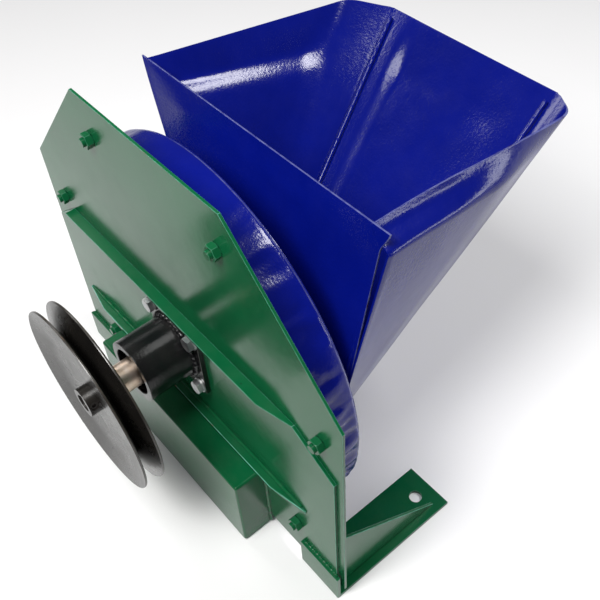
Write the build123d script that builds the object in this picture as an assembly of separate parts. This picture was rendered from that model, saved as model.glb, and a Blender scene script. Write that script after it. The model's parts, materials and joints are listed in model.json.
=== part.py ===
from build123d import *
import math
import os

# Belt-driven disc crusher for fruit. Millimetres, +X right, +Y back towards the hopper, +Z up.
# Origin: on the floor, midway between the two foot bolt holes.
# Sub-parts are drawn in the shaft frame (x and z from the shaft axis, y from the main plate's
# front face, negative towards the pulley) and moved into the model frame when they are written.

# --- where the shaft frame sits ---
axis_x = 3.0              # shaft axis, right of the feet's middle
axis_height = 187.0       # shaft axis above the floor
foot_hole_y = 123.0       # foot bolt holes behind the main plate's front face
floor_z = -axis_height
plate_mid_x = -axis_x

# --- main plate and its reinforcement ---
plate_t = 2.5
plate_half_w = 222.5
plate_top = 220.0         # above the shaft axis
plate_top_half_w = 100.0
plate_shoulder_z = 92.0   # where the sloping corners meet the vertical sides
plate_clear = 16.0        # bottom edge above the floor
plate_bottom = floor_z + plate_clear
shaft_hole_r = 17.0
doubler_t = 3.0
doubler_top = 42.5
doubler_half_w = 215.0
doubler_flat_left = -181.0
doubler_flat_right = 163.0
doubler_shoulder_z = 14.0
flange_depth = 11.0       # bent top edge of the reinforcement, from the main plate's front face
flange_taper = 36.0
rib_z = -81.0
rib_t = 4.0
rib_depth = 6.2
rib_left = -197.0
rib_right = 173.0
rib_taper = 40.0
rib_tip = 1.5

# --- feet ---
foot_spacing = 388.0      # between the two bolt holes
foot_w = 52.0
foot_t = 4.0
foot_end_margin = 20.0    # hole centre to the strip's rear end
foot_hole_r = 6.5
foot_tab_h = 40.0
gusset_t = 3.0
gusset_top = -91.0
gusset_tip_y = 131.0
gusset_out = 16.5         # gusset outboard of the foot hole

# --- casing ---
casing_r = 189.0
casing_depth = 47.0       # rear face behind the main plate's front face
casing_t = 2.0
lip_t = 3.0
casing_bolt_out = 11.0    # bolt circle outside the drum
lip_edge = 9.0            # lip outside the bolt circle
casing_bolt_angles = (26, 75, 127.5)   # from straight up, both sides

# --- hopper: corners in the shaft frame ---
hopper_t = 2.0
mouth_y = casing_depth
mouth = [(-30, 30), (168, 30), (128, -80), (5, -80)]
rim_front_y = 99.0
rim_front_z = 181.0
rim_front_half_w = 155.0
rim_back_y = 355.0
rim_back_z = 153.0
rim_back_left = -95.0
rim_back_right = 112.0
rim_side_left = (-139, 330, 156)
rim_side_right = (137, 342, 152)
fold_inset = 0.14         # fold's ends, as a share of the wall's width
# for each wall: fold line's place as a share of the way down, and how far it stands out
folds = {"front": (0.14, 2.0), "right": (0.11, 9.0), "back": (0.1, 8.0), "left": (0.19, 8.0)}

# --- discharge chute ---
chute_left = -124.0
chute_right = 112.0
chute_top = -86.5
chute_depth = 36.5        # front face ahead of the main plate's front face
chute_clear = 2.0         # bottom edge above the floor
chute_t = 2.0
window_margin = 12.0      # plate window inside the chute's ends
window_top = -98.0
window_bottom = -158.0

# --- bearing housing ---
housing_r = 31.0
housing_front = -56.5
housing_flange_half = 39.0
housing_flange_t = 5.0
housing_bolt_half = 31.2
bearing_bore_r = 10.0
bearing_outer_r = 23.5
bearing_w = 14.0
bearing_gap = 15.7        # between the two bearings
ball_r = 3.97
ball_count = 8
race_clear = 0.05
ball_pitch_r = (bearing_bore_r + bearing_outer_r) / 2
inner_land_r = 13.6
outer_land_r = 19.9
cage_in_r = 15.4
cage_out_r = 18.1
cage_half_w = 5.0
seal_t = 1.0
seal_inset = 0.4
circlip_t = 1.5
circlip_in_r = 21.0
circlip_out_r = 25.0

# --- shaft line ---
sleeve_r = 14.0
inner_spacer_r = 13.0
outer_spacer_r = 20.5
pulley_seat = -76.0       # pulley hub's rear end
nose_r = 8.5
nose_recess = 3.0         # shaft end inside the pulley hub
key_w = 5.0
key_h = 5.0
pulley_key_len = 22.0
disc_key_len = 8.0
thread_r = 8.0

# --- pulley ---
pulley_r = 90.8
pulley_mid = -94.8        # plane where the two discs meet
pulley_rim_half = 9.7     # rim plane from that plane
pulley_sheet = 2.0
groove_floor_r = 61.0
pulley_hub_r = 14.0
pulley_hub_front = -107.0
set_screw_r = 4.0
set_screw_y = -101.9
set_screw_angle = 17.0
set_screw_sink = 2.0      # below the hub's surface
set_screw_hex = 2.0
set_screw_socket = 2.0    # depth

# --- cutting disc ---
disc_clear = 19.0         # rim to the drum's inside
disc_t = 4.0
disc_hub_r = 25.0
disc_hub_front = 15.0
knife_count = 4
knife_in_r = 48.0
knife_len = 105.0
knife_w = 18.0
knife_t = 4.0
knife_bevel = 3.0
slot_w = 12.0
slot_end_margin = 4.0
knife_screw_r = 3.0
knife_head_r = 5.5
knife_screw_margin = 16.0
disc_washer_r = 15.0
disc_washer_t = 2.5
disc_nut_af = 24.0
disc_nut_h = 8.0
shaft_tail = 1.0          # thread past the nut
shaft_clear = 1.5         # shaft end to the drum's back

# --- M8 fasteners ---
m8_r = 4.0
m8_hole_r = 4.5
m8_af = 13.0
m8_head = 5.3
m8_nut = 6.5
m8_washer_r = 8.0
m8_washer_t = 1.6
m8_tail = 2.5
head_chamfer = 0.05       # axial depth of the corner chamfer, as a share of the width over flats

plate_back = plate_t
doubler_front = -doubler_t
bearing_back = doubler_front
rear_bearing = (bearing_back - bearing_w, bearing_back)
front_bearing_back = rear_bearing[0] - bearing_gap
front_bearing = (front_bearing_back - bearing_w, front_bearing_back)
casing_bolt_r = casing_r + casing_bolt_out
lip_r = casing_bolt_r + lip_edge
disc_r = casing_r - casing_t - disc_clear
nut_back = casing_depth - casing_t - shaft_clear - shaft_tail
nut_front = nut_back - disc_nut_h
disc_back = nut_front - disc_washer_t
disc_front = disc_back - disc_t
chute_bottom = floor_z + chute_clear


# --- drawing helpers ---

def tube(y_front, y_back, r_out, r_in=0.0):
    """Round bar or ring along Y."""
    place = Pos(0, (y_front + y_back) / 2, 0) * Rot(90, 0, 0)
    body = place * Cylinder(r_out, y_back - y_front)
    if r_in > 0:
        body -= place * Cylinder(r_in, y_back - y_front + 2)
    return body


def slab(points, y_front, y_back):
    """Flat plate from an outline of (x, z) points, between two y planes."""
    face = Face(Wire.make_polygon([(x, y_front, z) for x, z in points], close=True))
    return extrude(face, amount=y_back - y_front, dir=(0, 1, 0))


def block(x0, x1, y0, y1, z0, z1):
    return Pos((x0 + x1) / 2, (y0 + y1) / 2, (z0 + z1) / 2) * Box(x1 - x0, y1 - y0, z1 - z0)


def hexagon(x, z, y_front, y_back, across_flats):
    """Hexagonal bar along Y."""
    points = []
    for i in range(6):
        a = math.radians(60 * i)
        points.append((x + across_flats / math.sqrt(3) * math.cos(a),
                       z + across_flats / math.sqrt(3) * math.sin(a)))
    return slab(points, y_front, y_back)


def chamfered_hexagon(x, z, y_front, y_back, across_flats, front=True, back=False):
    """Hexagon whose corners are turned off at one or both ends, as on bolt heads and nuts."""
    corner_r = across_flats / math.sqrt(3)
    length = y_back - y_front
    blank = Cylinder(corner_r, length)
    ends = []
    if front:
        ends.append(blank.edges().filter_by(GeomType.CIRCLE).sort_by(Axis.Z)[-1])
    if back:
        ends.append(blank.edges().filter_by(GeomType.CIRCLE).sort_by(Axis.Z)[0])
    blank = chamfer(ends, head_chamfer * across_flats, 2 * head_chamfer * across_flats)
    turned = Pos(x, (y_front + y_back) / 2, z) * Rot(90, 0, 0) * blank
    return hexagon(x, z, y_front, y_back, across_flats) & turned


def polyhedron(triangles):
    return Solid(Shell([Face(Wire.make_polygon(t, close=True)) for t in triangles]))


def clock(angle, radius):
    """(x, z) at an angle from straight up, clockwise as seen from the pulley side."""
    a = math.radians(angle)
    return radius * math.sin(a), radius * math.cos(a)


def casing_bolt_points():
    return [clock(side * a, casing_bolt_r) for a in casing_bolt_angles for side in (-1, 1)]


def housing_bolt_points():
    h = housing_bolt_half
    return [(-h, -h), (-h, h), (h, -h), (h, h)]


def drill(body, points, radius, y_front, y_back):
    for x, z in points:
        body -= Pos(x, 0, z) * tube(y_front - 1, y_back + 1, radius)
    return body


def group(solids):
    return Compound(children=list(solids))


# --- frame plates ---

def plate_window(y_front, y_back):
    """Opening behind the chute, through which pulp leaves the drum."""
    return block(chute_left + window_margin, chute_right - window_margin,
                 y_front - 1, y_back + 1, window_bottom, window_top)


def main_plate():
    left, right = plate_mid_x - plate_half_w, plate_mid_x + plate_half_w
    outline = [(left, plate_bottom), (left, plate_shoulder_z),
               (plate_mid_x - plate_top_half_w, plate_top),
               (plate_mid_x + plate_top_half_w, plate_top),
               (right, plate_shoulder_z), (right, plate_bottom)]
    body = slab(outline, 0, plate_back)
    body -= tube(-1, plate_back + 1, shaft_hole_r)
    body -= plate_window(0, plate_back)
    body = drill(body, casing_bolt_points(), m8_hole_r, 0, plate_back)
    return drill(body, housing_bolt_points(), m8_hole_r, 0, plate_back)


def stiffener_plate():
    """Sheet over the lower part of the main plate, its top edge bent forward as a flange."""
    left, right = plate_mid_x - doubler_half_w, plate_mid_x + doubler_half_w
    outline = [(left, plate_bottom), (left, doubler_shoulder_z),
               (doubler_flat_left, doubler_top), (doubler_flat_right, doubler_top),
               (right, doubler_shoulder_z), (right, plate_bottom)]
    body = slab(outline, doubler_front, 0)
    flange = Face(Wire.make_polygon([
        (doubler_flat_left, doubler_front, doubler_top),
        (doubler_flat_left, -flange_depth, doubler_top),
        (doubler_flat_right - flange_taper, -flange_depth, doubler_top),
        (doubler_flat_right, doubler_front, doubler_top)], close=True))
    body += extrude(flange, amount=doubler_t, dir=(0, 0, -1))
    body -= tube(doubler_front - 1, 1, shaft_hole_r)
    body -= plate_window(doubler_front, 0)
    low_bolts = [p for p in casing_bolt_points() if p[1] < doubler_shoulder_z]
    body = drill(body, low_bolts, m8_hole_r, doubler_front, 0)
    return drill(body, housing_bolt_points(), m8_hole_r, doubler_front, 0)


def lower_rib():
    """Flat bar welded on edge below the bearing, tapered towards both ends."""
    front = doubler_front - rib_depth
    outline = Face(Wire.make_polygon([
        (rib_left, doubler_front, rib_z), (rib_left, doubler_front - rib_tip, rib_z),
        (rib_left + rib_taper, front, rib_z), (rib_right - rib_taper, front, rib_z),
        (rib_right, doubler_front - rib_tip, rib_z), (rib_right, doubler_front, rib_z)],
        close=True))
    return extrude(outline, amount=rib_t, dir=(0, 0, -1))


def discharge_chute():
    """Sheet box in front of the window, open at the bottom and towards the plate."""
    body = block(chute_left, chute_right, -chute_depth, doubler_front, chute_bottom, chute_top)
    body -= block(chute_left + chute_t, chute_right - chute_t, -chute_depth + chute_t,
                  doubler_front + 1, chute_bottom - 1, chute_top - chute_t)
    return body


def foot(side):
    """Strip under the frame, its front end bent up and welded to the plate."""
    mid = plate_mid_x + side * foot_spacing / 2
    x0, x1 = mid - foot_w / 2, mid + foot_w / 2
    front = doubler_front - foot_t
    strip = block(x0, x1, front, foot_hole_y + foot_end_margin, floor_z, floor_z + foot_t)
    strip += block(x0, x1, front, doubler_front, floor_z, floor_z + foot_tab_h)
    hole = Pos(mid, foot_hole_y, floor_z) * Cylinder(foot_hole_r, foot_t * 4)
    return strip - hole


def gusset(side):
    """Triangular web between the main plate's back and the foot."""
    mid = plate_mid_x + side * (foot_spacing / 2 + gusset_out)
    x0 = mid - gusset_t / 2
    low = floor_z + foot_t
    face = Face(Wire.make_polygon([(x0, plate_back, low), (x0, plate_back, gusset_top),
                                   (x0, gusset_tip_y, low)], close=True))
    return extrude(face, amount=gusset_t, dir=(1, 0, 0))


# --- casing ---

def open_bottom(body):
    """Cut the drum off level with the main plate's bottom edge."""
    reach = 2 * lip_r
    return body - block(-reach, reach, -10, 2 * casing_depth, -2 * reach, plate_bottom)


def casing_wrapper():
    return open_bottom(tube(plate_back + lip_t, casing_depth, casing_r, casing_r - casing_t))


def casing_lip():
    body = open_bottom(tube(plate_back, plate_back + lip_t, lip_r, casing_r - casing_t))
    return drill(body, casing_bolt_points(), m8_hole_r, plate_back, plate_back + lip_t)


def casing_back():
    body = open_bottom(tube(casing_depth - casing_t, casing_depth, casing_r - casing_t))
    return body - slab(mouth, casing_depth - casing_t - 1, casing_depth + 1)


def casing_bolts():
    """Hexagon bolts put in from behind the drum's lip."""
    solids = []
    lip_back = plate_back + lip_t
    for x, z in casing_bolt_points():
        front = casing_nut_face(z) - m8_nut - m8_tail
        bolt = Pos(x, 0, z) * tube(front, lip_back, m8_r)
        solids.append(bolt + chamfered_hexagon(x, z, lip_back, lip_back + m8_head, m8_af, False, True))
    return group(solids)


def casing_nut_face(z):
    """Front surface that a casing nut seats on at this height."""
    return doubler_front if z < doubler_shoulder_z else 0.0


def casing_nuts():
    solids = []
    for x, z in casing_bolt_points():
        face = casing_nut_face(z)
        nut = chamfered_hexagon(x, z, face - m8_nut, face, m8_af, True, True)
        solids.append(nut - Pos(x, 0, z) * tube(face - m8_nut - 1, face + 1, m8_r))
    return group(solids)


# --- hopper ---

def hopper_seams():
    """Each corner seam as (mouth point, rim point), clockwise from the front left."""
    lows = [Vector(x, mouth_y, z) for x, z in mouth]
    tops = [Vector(-rim_front_half_w, rim_front_y, rim_front_z),
            Vector(rim_front_half_w, rim_front_y, rim_front_z),
            Vector(rim_back_right, rim_back_y, rim_back_z),
            Vector(rim_back_left, rim_back_y, rim_back_z)]
    return list(zip(lows, tops))


def inset_corner(point, before, after, depth):
    """Move a corner inwards so that both walls that meet there are the same thickness."""
    u = (before - point).normalized()
    v = (after - point).normalized()
    bend = math.sqrt(max(1e-6, (1 - (u.dot(v)) ** 2)))
    return point + (u + v) * (depth / bend)


def hopper_corners():
    """Outer and inner ends of each seam, at the mouth and at the rim."""
    seams = hopper_seams()
    ends = []
    for i, (low, top) in enumerate(seams):
        before = seams[i - 1]
        after = seams[(i + 1) % 4]
        ends.append((low, top, inset_corner(low, before[0], after[0], hopper_t),
                     inset_corner(top, before[1], after[1], hopper_t)))
    return ends


def hopper_wall(index, fold, side_point=None):
    """One sheet between two seams, its upper band folded outwards along a line that fades
    before the corners. side_point is where a side wall's rim turns in to its back seam."""
    a_low, a_top, a_low_in, a_top_in = hopper_corners()[index]
    b_low, b_top, b_low_in, b_top_in = hopper_corners()[(index + 1) % 4]
    out = (b_top - a_top).cross(a_low - a_top).normalized()
    if out.dot((a_low_in - a_low) + (b_low_in - b_low)) > 0:
        out = out * -1

    def on_wall(across, down):
        top = a_top + (b_top - a_top) * across
        low = a_low + (b_low - a_low) * across
        return top + (low - top) * down

    drop, bulge = fold
    crease = [on_wall(s, drop) + out * bulge for s in (fold_inset, 1 - fold_inset)]
    outer = [a_top, b_top, b_low, a_low] + crease
    inner = [a_top_in, b_top_in, b_low_in, a_low_in] + [p - out * hopper_t for p in crease]
    faces = [(1, 2, 5), (2, 3, 4), (2, 4, 5), (3, 0, 4)]
    rim = [(0, 1)]
    if side_point is None:
        faces += [(0, 1, 5), (0, 5, 4)]
    else:
        turn = Vector(*side_point)
        outer.append(turn)
        inner.append(turn - out * hopper_t)
        rim = [(0, 6), (6, 1)]
        if (turn - a_top).length < (turn - b_top).length:
            faces += [(0, 6, 4), (6, 5, 4), (6, 1, 5)]
        else:
            faces += [(0, 6, 5), (0, 5, 4), (6, 1, 5)]
    triangles = [[outer[i] for i in f] for f in faces]
    triangles += [[inner[i] for i in reversed(f)] for f in faces]
    # every edge strip is split from its outer upper or first corner, so neighbours share it
    for i, j in rim + [(1, 2), (2, 3), (0, 3)]:
        triangles.append([outer[i], outer[j], inner[j]])
        triangles.append([outer[i], inner[j], inner[i]])
    return polyhedron(triangles)


# --- bearing housing ---

def bearing_housing():
    body = tube(housing_front, doubler_front, housing_r, bearing_outer_r)
    groove = tube(front_bearing[0] - circlip_t, front_bearing[0], circlip_out_r, bearing_outer_r - 1)
    return body - groove


def housing_flange():
    h = housing_flange_half
    square = [(-h, -h), (h, -h), (h, h), (-h, h)]
    body = slab(square, doubler_front - housing_flange_t, doubler_front)
    body -= tube(doubler_front - housing_flange_t - 1, doubler_front + 1, housing_r)
    return drill(body, housing_bolt_points(), m8_hole_r,
                 doubler_front - housing_flange_t, doubler_front)


def housing_circlip():
    ring = tube(front_bearing[0] - circlip_t, front_bearing[0], circlip_out_r, circlip_in_r)
    gap = block(-4, 4, front_bearing[0] - 5, front_bearing[0] + 1, -circlip_out_r - 2, 0)
    return ring - gap


def outer_spacer():
    return tube(front_bearing[1], rear_bearing[0], bearing_outer_r, outer_spacer_r)


def inner_spacer():
    return tube(front_bearing[1], rear_bearing[0], inner_spacer_r, bearing_bore_r)


def ball_race(span):
    """Groove that the balls run in."""
    return Pos(0, sum(span) / 2, 0) * Rot(90, 0, 0) * Torus(ball_pitch_r, ball_r + race_clear)


def outer_ring(span):
    return tube(*span, bearing_outer_r, outer_land_r) - ball_race(span)


def inner_ring(span):
    return tube(*span, inner_land_r, bearing_bore_r) - ball_race(span)


def bearing_balls(span):
    ball = Pos(0, sum(span) / 2, ball_pitch_r) * Sphere(ball_r)
    return group([Rot(0, 360 * i / ball_count, 0) * ball for i in range(ball_count)])


def bearing_cage(span):
    mid = sum(span) / 2
    body = tube(mid - cage_half_w, mid + cage_half_w, cage_out_r, cage_in_r)
    pocket = Pos(0, mid, ball_pitch_r) * Cylinder(ball_r + race_clear, 2 * (cage_out_r - cage_in_r))
    for i in range(ball_count):
        body -= Rot(0, 360 * i / ball_count, 0) * pocket
    return body


def bearing_seals(span):
    """Rubber shields held in the outer ring, clear of the inner one."""
    front = tube(span[0] + seal_inset, span[0] + seal_inset + seal_t,
                 outer_land_r, inner_land_r + race_clear)
    back = tube(span[1] - seal_inset - seal_t, span[1] - seal_inset,
                outer_land_r, inner_land_r + race_clear)
    return group([front, back])


def housing_bolts():
    """Hexagon bolts through the flange and both plates."""
    solids = []
    seat = doubler_front - housing_flange_t - m8_washer_t
    tail = plate_back + m8_washer_t + m8_nut + m8_tail
    for x, z in housing_bolt_points():
        bolt = Pos(x, 0, z) * tube(seat, tail, m8_r)
        solids.append(bolt + chamfered_hexagon(x, z, seat - m8_head, seat, m8_af))
    return group(solids)


def housing_washers():
    solids = []
    flange_face = doubler_front - housing_flange_t
    for x, z in housing_bolt_points():
        for front in (flange_face - m8_washer_t, plate_back):
            solids.append(Pos(x, 0, z) * tube(front, front + m8_washer_t, m8_washer_r, m8_r))
    return group(solids)


def housing_nuts():
    solids = []
    seat = plate_back + m8_washer_t
    for x, z in housing_bolt_points():
        nut = chamfered_hexagon(x, z, seat, seat + m8_nut, m8_af, True, True)
        solids.append(nut - Pos(x, 0, z) * tube(seat - 1, seat + m8_nut + 1, m8_r))
    return group(solids)


# --- shaft line ---

def pulley_key():
    middle = (pulley_hub_front + nose_recess + pulley_seat) / 2
    return block(-key_w / 2, key_w / 2, middle - pulley_key_len / 2, middle + pulley_key_len / 2,
                 nose_r - key_h / 2, nose_r + key_h / 2)


def disc_key():
    start = disc_hub_front + 1
    return block(-key_w / 2, key_w / 2, start, start + disc_key_len,
                 bearing_bore_r - key_h / 2, bearing_bore_r + key_h / 2)


def shaft():
    body = tube(pulley_hub_front + nose_recess, pulley_seat, nose_r)
    body += tube(pulley_seat, disc_back, bearing_bore_r)
    body += tube(disc_back, nut_back + shaft_tail, thread_r)
    return body - pulley_key() - disc_key()


def front_sleeve():
    return tube(pulley_seat, front_bearing[0], sleeve_r, bearing_bore_r)


def rear_sleeve():
    return tube(rear_bearing[1], disc_hub_front, sleeve_r, bearing_bore_r)


# --- pulley ---

def pulley_disc(side):
    """Pressed disc, flat in the middle and flared to the rim. side -1 is the front one."""
    flare = pulley_rim_half - pulley_sheet / 2
    profile = [(pulley_hub_r, 0), (groove_floor_r, 0), (pulley_r, flare - pulley_sheet / 2),
               (pulley_r, flare + pulley_sheet / 2), (groove_floor_r, pulley_sheet),
               (pulley_hub_r, pulley_sheet)]
    points = [(r, pulley_mid + side * y, 0) for r, y in profile]
    return revolve(Face(Wire.make_polygon(points, close=True)), Axis.Y)


def screw_line(r_start, r_end, radius):
    """Round bar along the set screw's radial line."""
    bar = Pos((r_start + r_end) / 2, 0, 0) * Rot(0, 90, 0) * Cylinder(radius, r_end - r_start)
    return Pos(0, set_screw_y, 0) * Rot(0, -set_screw_angle, 0) * bar


def pulley_hub():
    body = tube(pulley_hub_front, pulley_seat, pulley_hub_r, nose_r)
    slot = block(-key_w / 2, key_w / 2, pulley_hub_front - 1, pulley_seat + 1,
                 0, nose_r + key_h / 2)
    return body - slot - screw_line(0, pulley_hub_r + 1, set_screw_r)


def pulley_set_screw():
    end = pulley_hub_r - set_screw_sink
    body = screw_line(nose_r, end, set_screw_r)
    body -= screw_line(end - set_screw_socket, end + 1, set_screw_hex)
    return body - tube(pulley_hub_front, pulley_seat, nose_r)


# --- cutting disc ---

def knife_spots():
    return [Rot(0, 360 * i / knife_count, 0) for i in range(knife_count)]


def knife_screw_radii():
    return (knife_in_r + knife_screw_margin, knife_in_r + knife_len - knife_screw_margin)


def cutting_disc():
    body = tube(disc_front, disc_back, disc_r, bearing_bore_r)
    slot = block(knife_in_r + slot_end_margin, knife_in_r + knife_len - slot_end_margin,
                 disc_front - 1, disc_back + 1, knife_w / 2, knife_w / 2 + slot_w)
    for spot in knife_spots():
        body -= spot * slot
        for r in knife_screw_radii():
            body -= spot * Pos(r, 0, 0) * tube(disc_front - 1, disc_back + 1, knife_screw_r)
    return body


def disc_hub():
    return tube(disc_hub_front, disc_front, disc_hub_r, bearing_bore_r) - disc_key()


def knife_screw(r):
    """Countersunk screw, flush with the knife."""
    shank = Pos(r, 0, 0) * tube(disc_front, disc_back + knife_t, knife_screw_r)
    head_h = knife_head_r - knife_screw_r
    cone = Cone(knife_head_r, knife_screw_r, head_h)
    return shank + Pos(r, disc_back + knife_t - head_h / 2, 0) * Rot(90, 0, 0) * cone


def cutting_knives():
    """Bars on the disc's hopper side, each with a ground edge over its slot."""
    r0, r1 = knife_in_r, knife_in_r + knife_len
    half = knife_w / 2
    bar = Face(Wire.make_polygon([
        (r0, disc_back, -half), (r0, disc_back + knife_t, -half),
        (r0, disc_back + knife_t, half), (r0, disc_back + knife_t - 1, half),
        (r0, disc_back, half - knife_bevel)], close=True))
    knife = extrude(bar, amount=r1 - r0, dir=(1, 0, 0))
    for r in knife_screw_radii():
        knife -= knife_screw(r)
    return group([spot * knife for spot in knife_spots()])


def knife_screws():
    return group([spot * knife_screw(r) for spot in knife_spots() for r in knife_screw_radii()])


def disc_washer():
    return tube(disc_back, nut_front, disc_washer_r, thread_r)


def disc_nut():
    body = chamfered_hexagon(0, 0, nut_front, nut_back, disc_nut_af, True, True)
    return body - tube(nut_front - 1, nut_back + 1, thread_r)


parts = {
    "main_plate": main_plate(),
    "stiffener_plate": stiffener_plate(),
    "lower_rib": lower_rib(),
    "discharge_chute": discharge_chute(),
    "left_foot": foot(-1),
    "right_foot": foot(1),
    "left_gusset": gusset(-1),
    "right_gusset": gusset(1),
    "casing_wrapper": casing_wrapper(),
    "casing_lip": casing_lip(),
    "casing_back": casing_back(),
    "casing_bolts": casing_bolts(),
    "casing_nuts": casing_nuts(),
    "hopper_front_wall": hopper_wall(0, folds["front"]),
    "hopper_right_wall": hopper_wall(1, folds["right"], rim_side_right),
    "hopper_back_wall": hopper_wall(2, folds["back"]),
    "hopper_left_wall": hopper_wall(3, folds["left"], rim_side_left),
    "bearing_housing": bearing_housing(),
    "housing_flange": housing_flange(),
    "housing_circlip": housing_circlip(),
    "housing_bolts": housing_bolts(),
    "housing_washers": housing_washers(),
    "housing_nuts": housing_nuts(),
    "outer_spacer": outer_spacer(),
    "inner_spacer": inner_spacer(),
    "shaft": shaft(),
    "front_sleeve": front_sleeve(),
    "rear_sleeve": rear_sleeve(),
    "pulley_key": pulley_key(),
    "disc_key": disc_key(),
    "pulley_front_disc": pulley_disc(-1),
    "pulley_back_disc": pulley_disc(1),
    "pulley_hub": pulley_hub(),
    "pulley_set_screw": pulley_set_screw(),
    "cutting_disc": cutting_disc(),
    "disc_hub": disc_hub(),
    "cutting_knives": cutting_knives(),
    "knife_screws": knife_screws(),
    "disc_washer": disc_washer(),
    "disc_nut": disc_nut(),
}
for name, span in (("front", front_bearing), ("rear", rear_bearing)):
    parts[f"{name}_bearing_outer_ring"] = outer_ring(span)
    parts[f"{name}_bearing_inner_ring"] = inner_ring(span)
    parts[f"{name}_bearing_balls"] = bearing_balls(span)
    parts[f"{name}_bearing_cage"] = bearing_cage(span)
    parts[f"{name}_bearing_seals"] = bearing_seals(span)

os.makedirs("parts", exist_ok=True)
for name, shape in parts.items():
    export_step(Pos(axis_x, -foot_hole_y, axis_height) * shape, f"parts/{name}.step")
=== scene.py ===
import json
import math

import bmesh
import bpy
from mathutils import Matrix, Vector, noise


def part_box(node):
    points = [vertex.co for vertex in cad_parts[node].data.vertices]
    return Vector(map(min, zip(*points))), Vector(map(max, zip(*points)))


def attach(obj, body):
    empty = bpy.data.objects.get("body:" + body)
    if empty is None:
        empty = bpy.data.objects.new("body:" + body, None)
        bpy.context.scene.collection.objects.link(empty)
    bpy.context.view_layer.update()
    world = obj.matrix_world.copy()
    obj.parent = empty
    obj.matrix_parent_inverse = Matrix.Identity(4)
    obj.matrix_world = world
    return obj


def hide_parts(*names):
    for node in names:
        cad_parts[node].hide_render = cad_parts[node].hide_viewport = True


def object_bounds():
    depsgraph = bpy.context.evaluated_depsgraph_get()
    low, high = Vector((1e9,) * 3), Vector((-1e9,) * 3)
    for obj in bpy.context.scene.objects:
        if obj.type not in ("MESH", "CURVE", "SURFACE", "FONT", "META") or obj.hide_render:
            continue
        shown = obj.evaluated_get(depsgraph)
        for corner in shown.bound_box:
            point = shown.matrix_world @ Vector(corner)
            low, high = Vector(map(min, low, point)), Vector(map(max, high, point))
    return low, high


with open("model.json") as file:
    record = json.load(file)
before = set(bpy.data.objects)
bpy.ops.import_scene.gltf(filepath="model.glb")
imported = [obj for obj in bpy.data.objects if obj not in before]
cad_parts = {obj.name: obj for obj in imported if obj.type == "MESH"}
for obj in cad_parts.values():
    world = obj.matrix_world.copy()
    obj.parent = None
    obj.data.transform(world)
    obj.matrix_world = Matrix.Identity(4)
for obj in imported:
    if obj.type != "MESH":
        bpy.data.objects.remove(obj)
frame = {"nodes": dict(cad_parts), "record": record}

# Belt-driven fruit crusher: green plate frame, blue drum and hopper, black pulley and bearing housing.
# Metres. +X right, +Y back towards the hopper, +Z up, and the shaft runs along Y.

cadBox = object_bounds()
nodes = frame["nodes"]
bodies = frame["record"]["behaviour"]["bodies"]
bodyOf = {node: body for body, members in bodies.items() for node in members}
slotOf = {part["node"]: part["material_slot"] for part in frame["record"]["subparts"]}
shaftLow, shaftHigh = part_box("shaft")
axisX = (shaftLow.x + shaftHigh.x) / 2
axisZ = (shaftLow.z + shaftHigh.z) / 2
mm = 0.001


cameraView = {
    "position": (0.46199, -0.33291, 0.77941),
    "target": (0.0361, -0.0109, 0.1837),
    "roll": -3.99,       # degrees about the line of sight
    "lens": 50.05,
}


def makeCamera(view):
    data = bpy.data.cameras.new("camera")
    data.lens = view["lens"]
    data.sensor_width = 36
    camera = bpy.data.objects.new("camera", data)
    bpy.context.scene.collection.objects.link(camera)
    sight = Vector(view["target"]) - Vector(view["position"])
    turn = sight.to_track_quat("-Z", "Y").to_matrix().to_4x4()
    roll = Matrix.Rotation(math.radians(view["roll"]), 4, "Z")
    camera.matrix_world = Matrix.Translation(view["position"]) @ turn @ roll
    bpy.context.scene.camera = camera


makeCamera(cameraView)
print("camera placed")


def newGroup(name, inputs, outputs):
    group = bpy.data.node_groups.new(name, "ShaderNodeTree")
    for label, value in inputs.items():
        isColour = isinstance(value, tuple)
        kind = "NodeSocketColor" if isColour else "NodeSocketFloat"
        socket = group.interface.new_socket(label, in_out="INPUT", socket_type=kind)
        socket.default_value = (*value, 1) if isColour else value
    for label, kind in outputs.items():
        group.interface.new_socket(label, in_out="OUTPUT", socket_type="NodeSocket" + kind)
    return group, group.nodes.new("NodeGroupInput"), group.nodes.new("NodeGroupOutput")


def addMath(tree, operation, first, second=None, clamp=False):
    node = tree.nodes.new("ShaderNodeMath")
    node.operation = operation
    node.use_clamp = clamp
    for socket, value in zip(node.inputs, (first, second)):
        if isinstance(value, bpy.types.NodeSocket):
            tree.links.new(value, socket)
        elif value is not None:
            socket.default_value = value
    return node.outputs[0]


def addMix(tree, share, first, second, mode="MIX"):
    node = tree.nodes.new("ShaderNodeMix")
    node.data_type = "RGBA"
    node.blend_type = mode
    for socket, value in zip((node.inputs[0], node.inputs[6], node.inputs[7]), (share, first, second)):
        if isinstance(value, bpy.types.NodeSocket):
            tree.links.new(value, socket)
        elif isinstance(value, tuple):
            socket.default_value = (*value, 1)
        else:
            socket.default_value = value
    return node.outputs[2]


def addNoise(tree, place, scale, detail=3, roughness=0.5):
    node = tree.nodes.new("ShaderNodeTexNoise")
    tree.links.new(place, node.inputs["Vector"])
    node.inputs["Detail"].default_value = detail
    node.inputs["Roughness"].default_value = roughness
    if isinstance(scale, bpy.types.NodeSocket):
        tree.links.new(scale, node.inputs["Scale"])
    else:
        node.inputs["Scale"].default_value = scale
    return node.outputs["Fac"]


def addRange(tree, value, low, high, toLow=0.0, toHigh=1.0):
    node = tree.nodes.new("ShaderNodeMapRange")
    tree.links.new(value, node.inputs["Value"])
    for label, number in zip(("From Min", "From Max", "To Min", "To Max"), (low, high, toLow, toHigh)):
        if isinstance(number, bpy.types.NodeSocket):
            tree.links.new(number, node.inputs[label])
        else:
            node.inputs[label].default_value = number
    return node.outputs["Result"]


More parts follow.
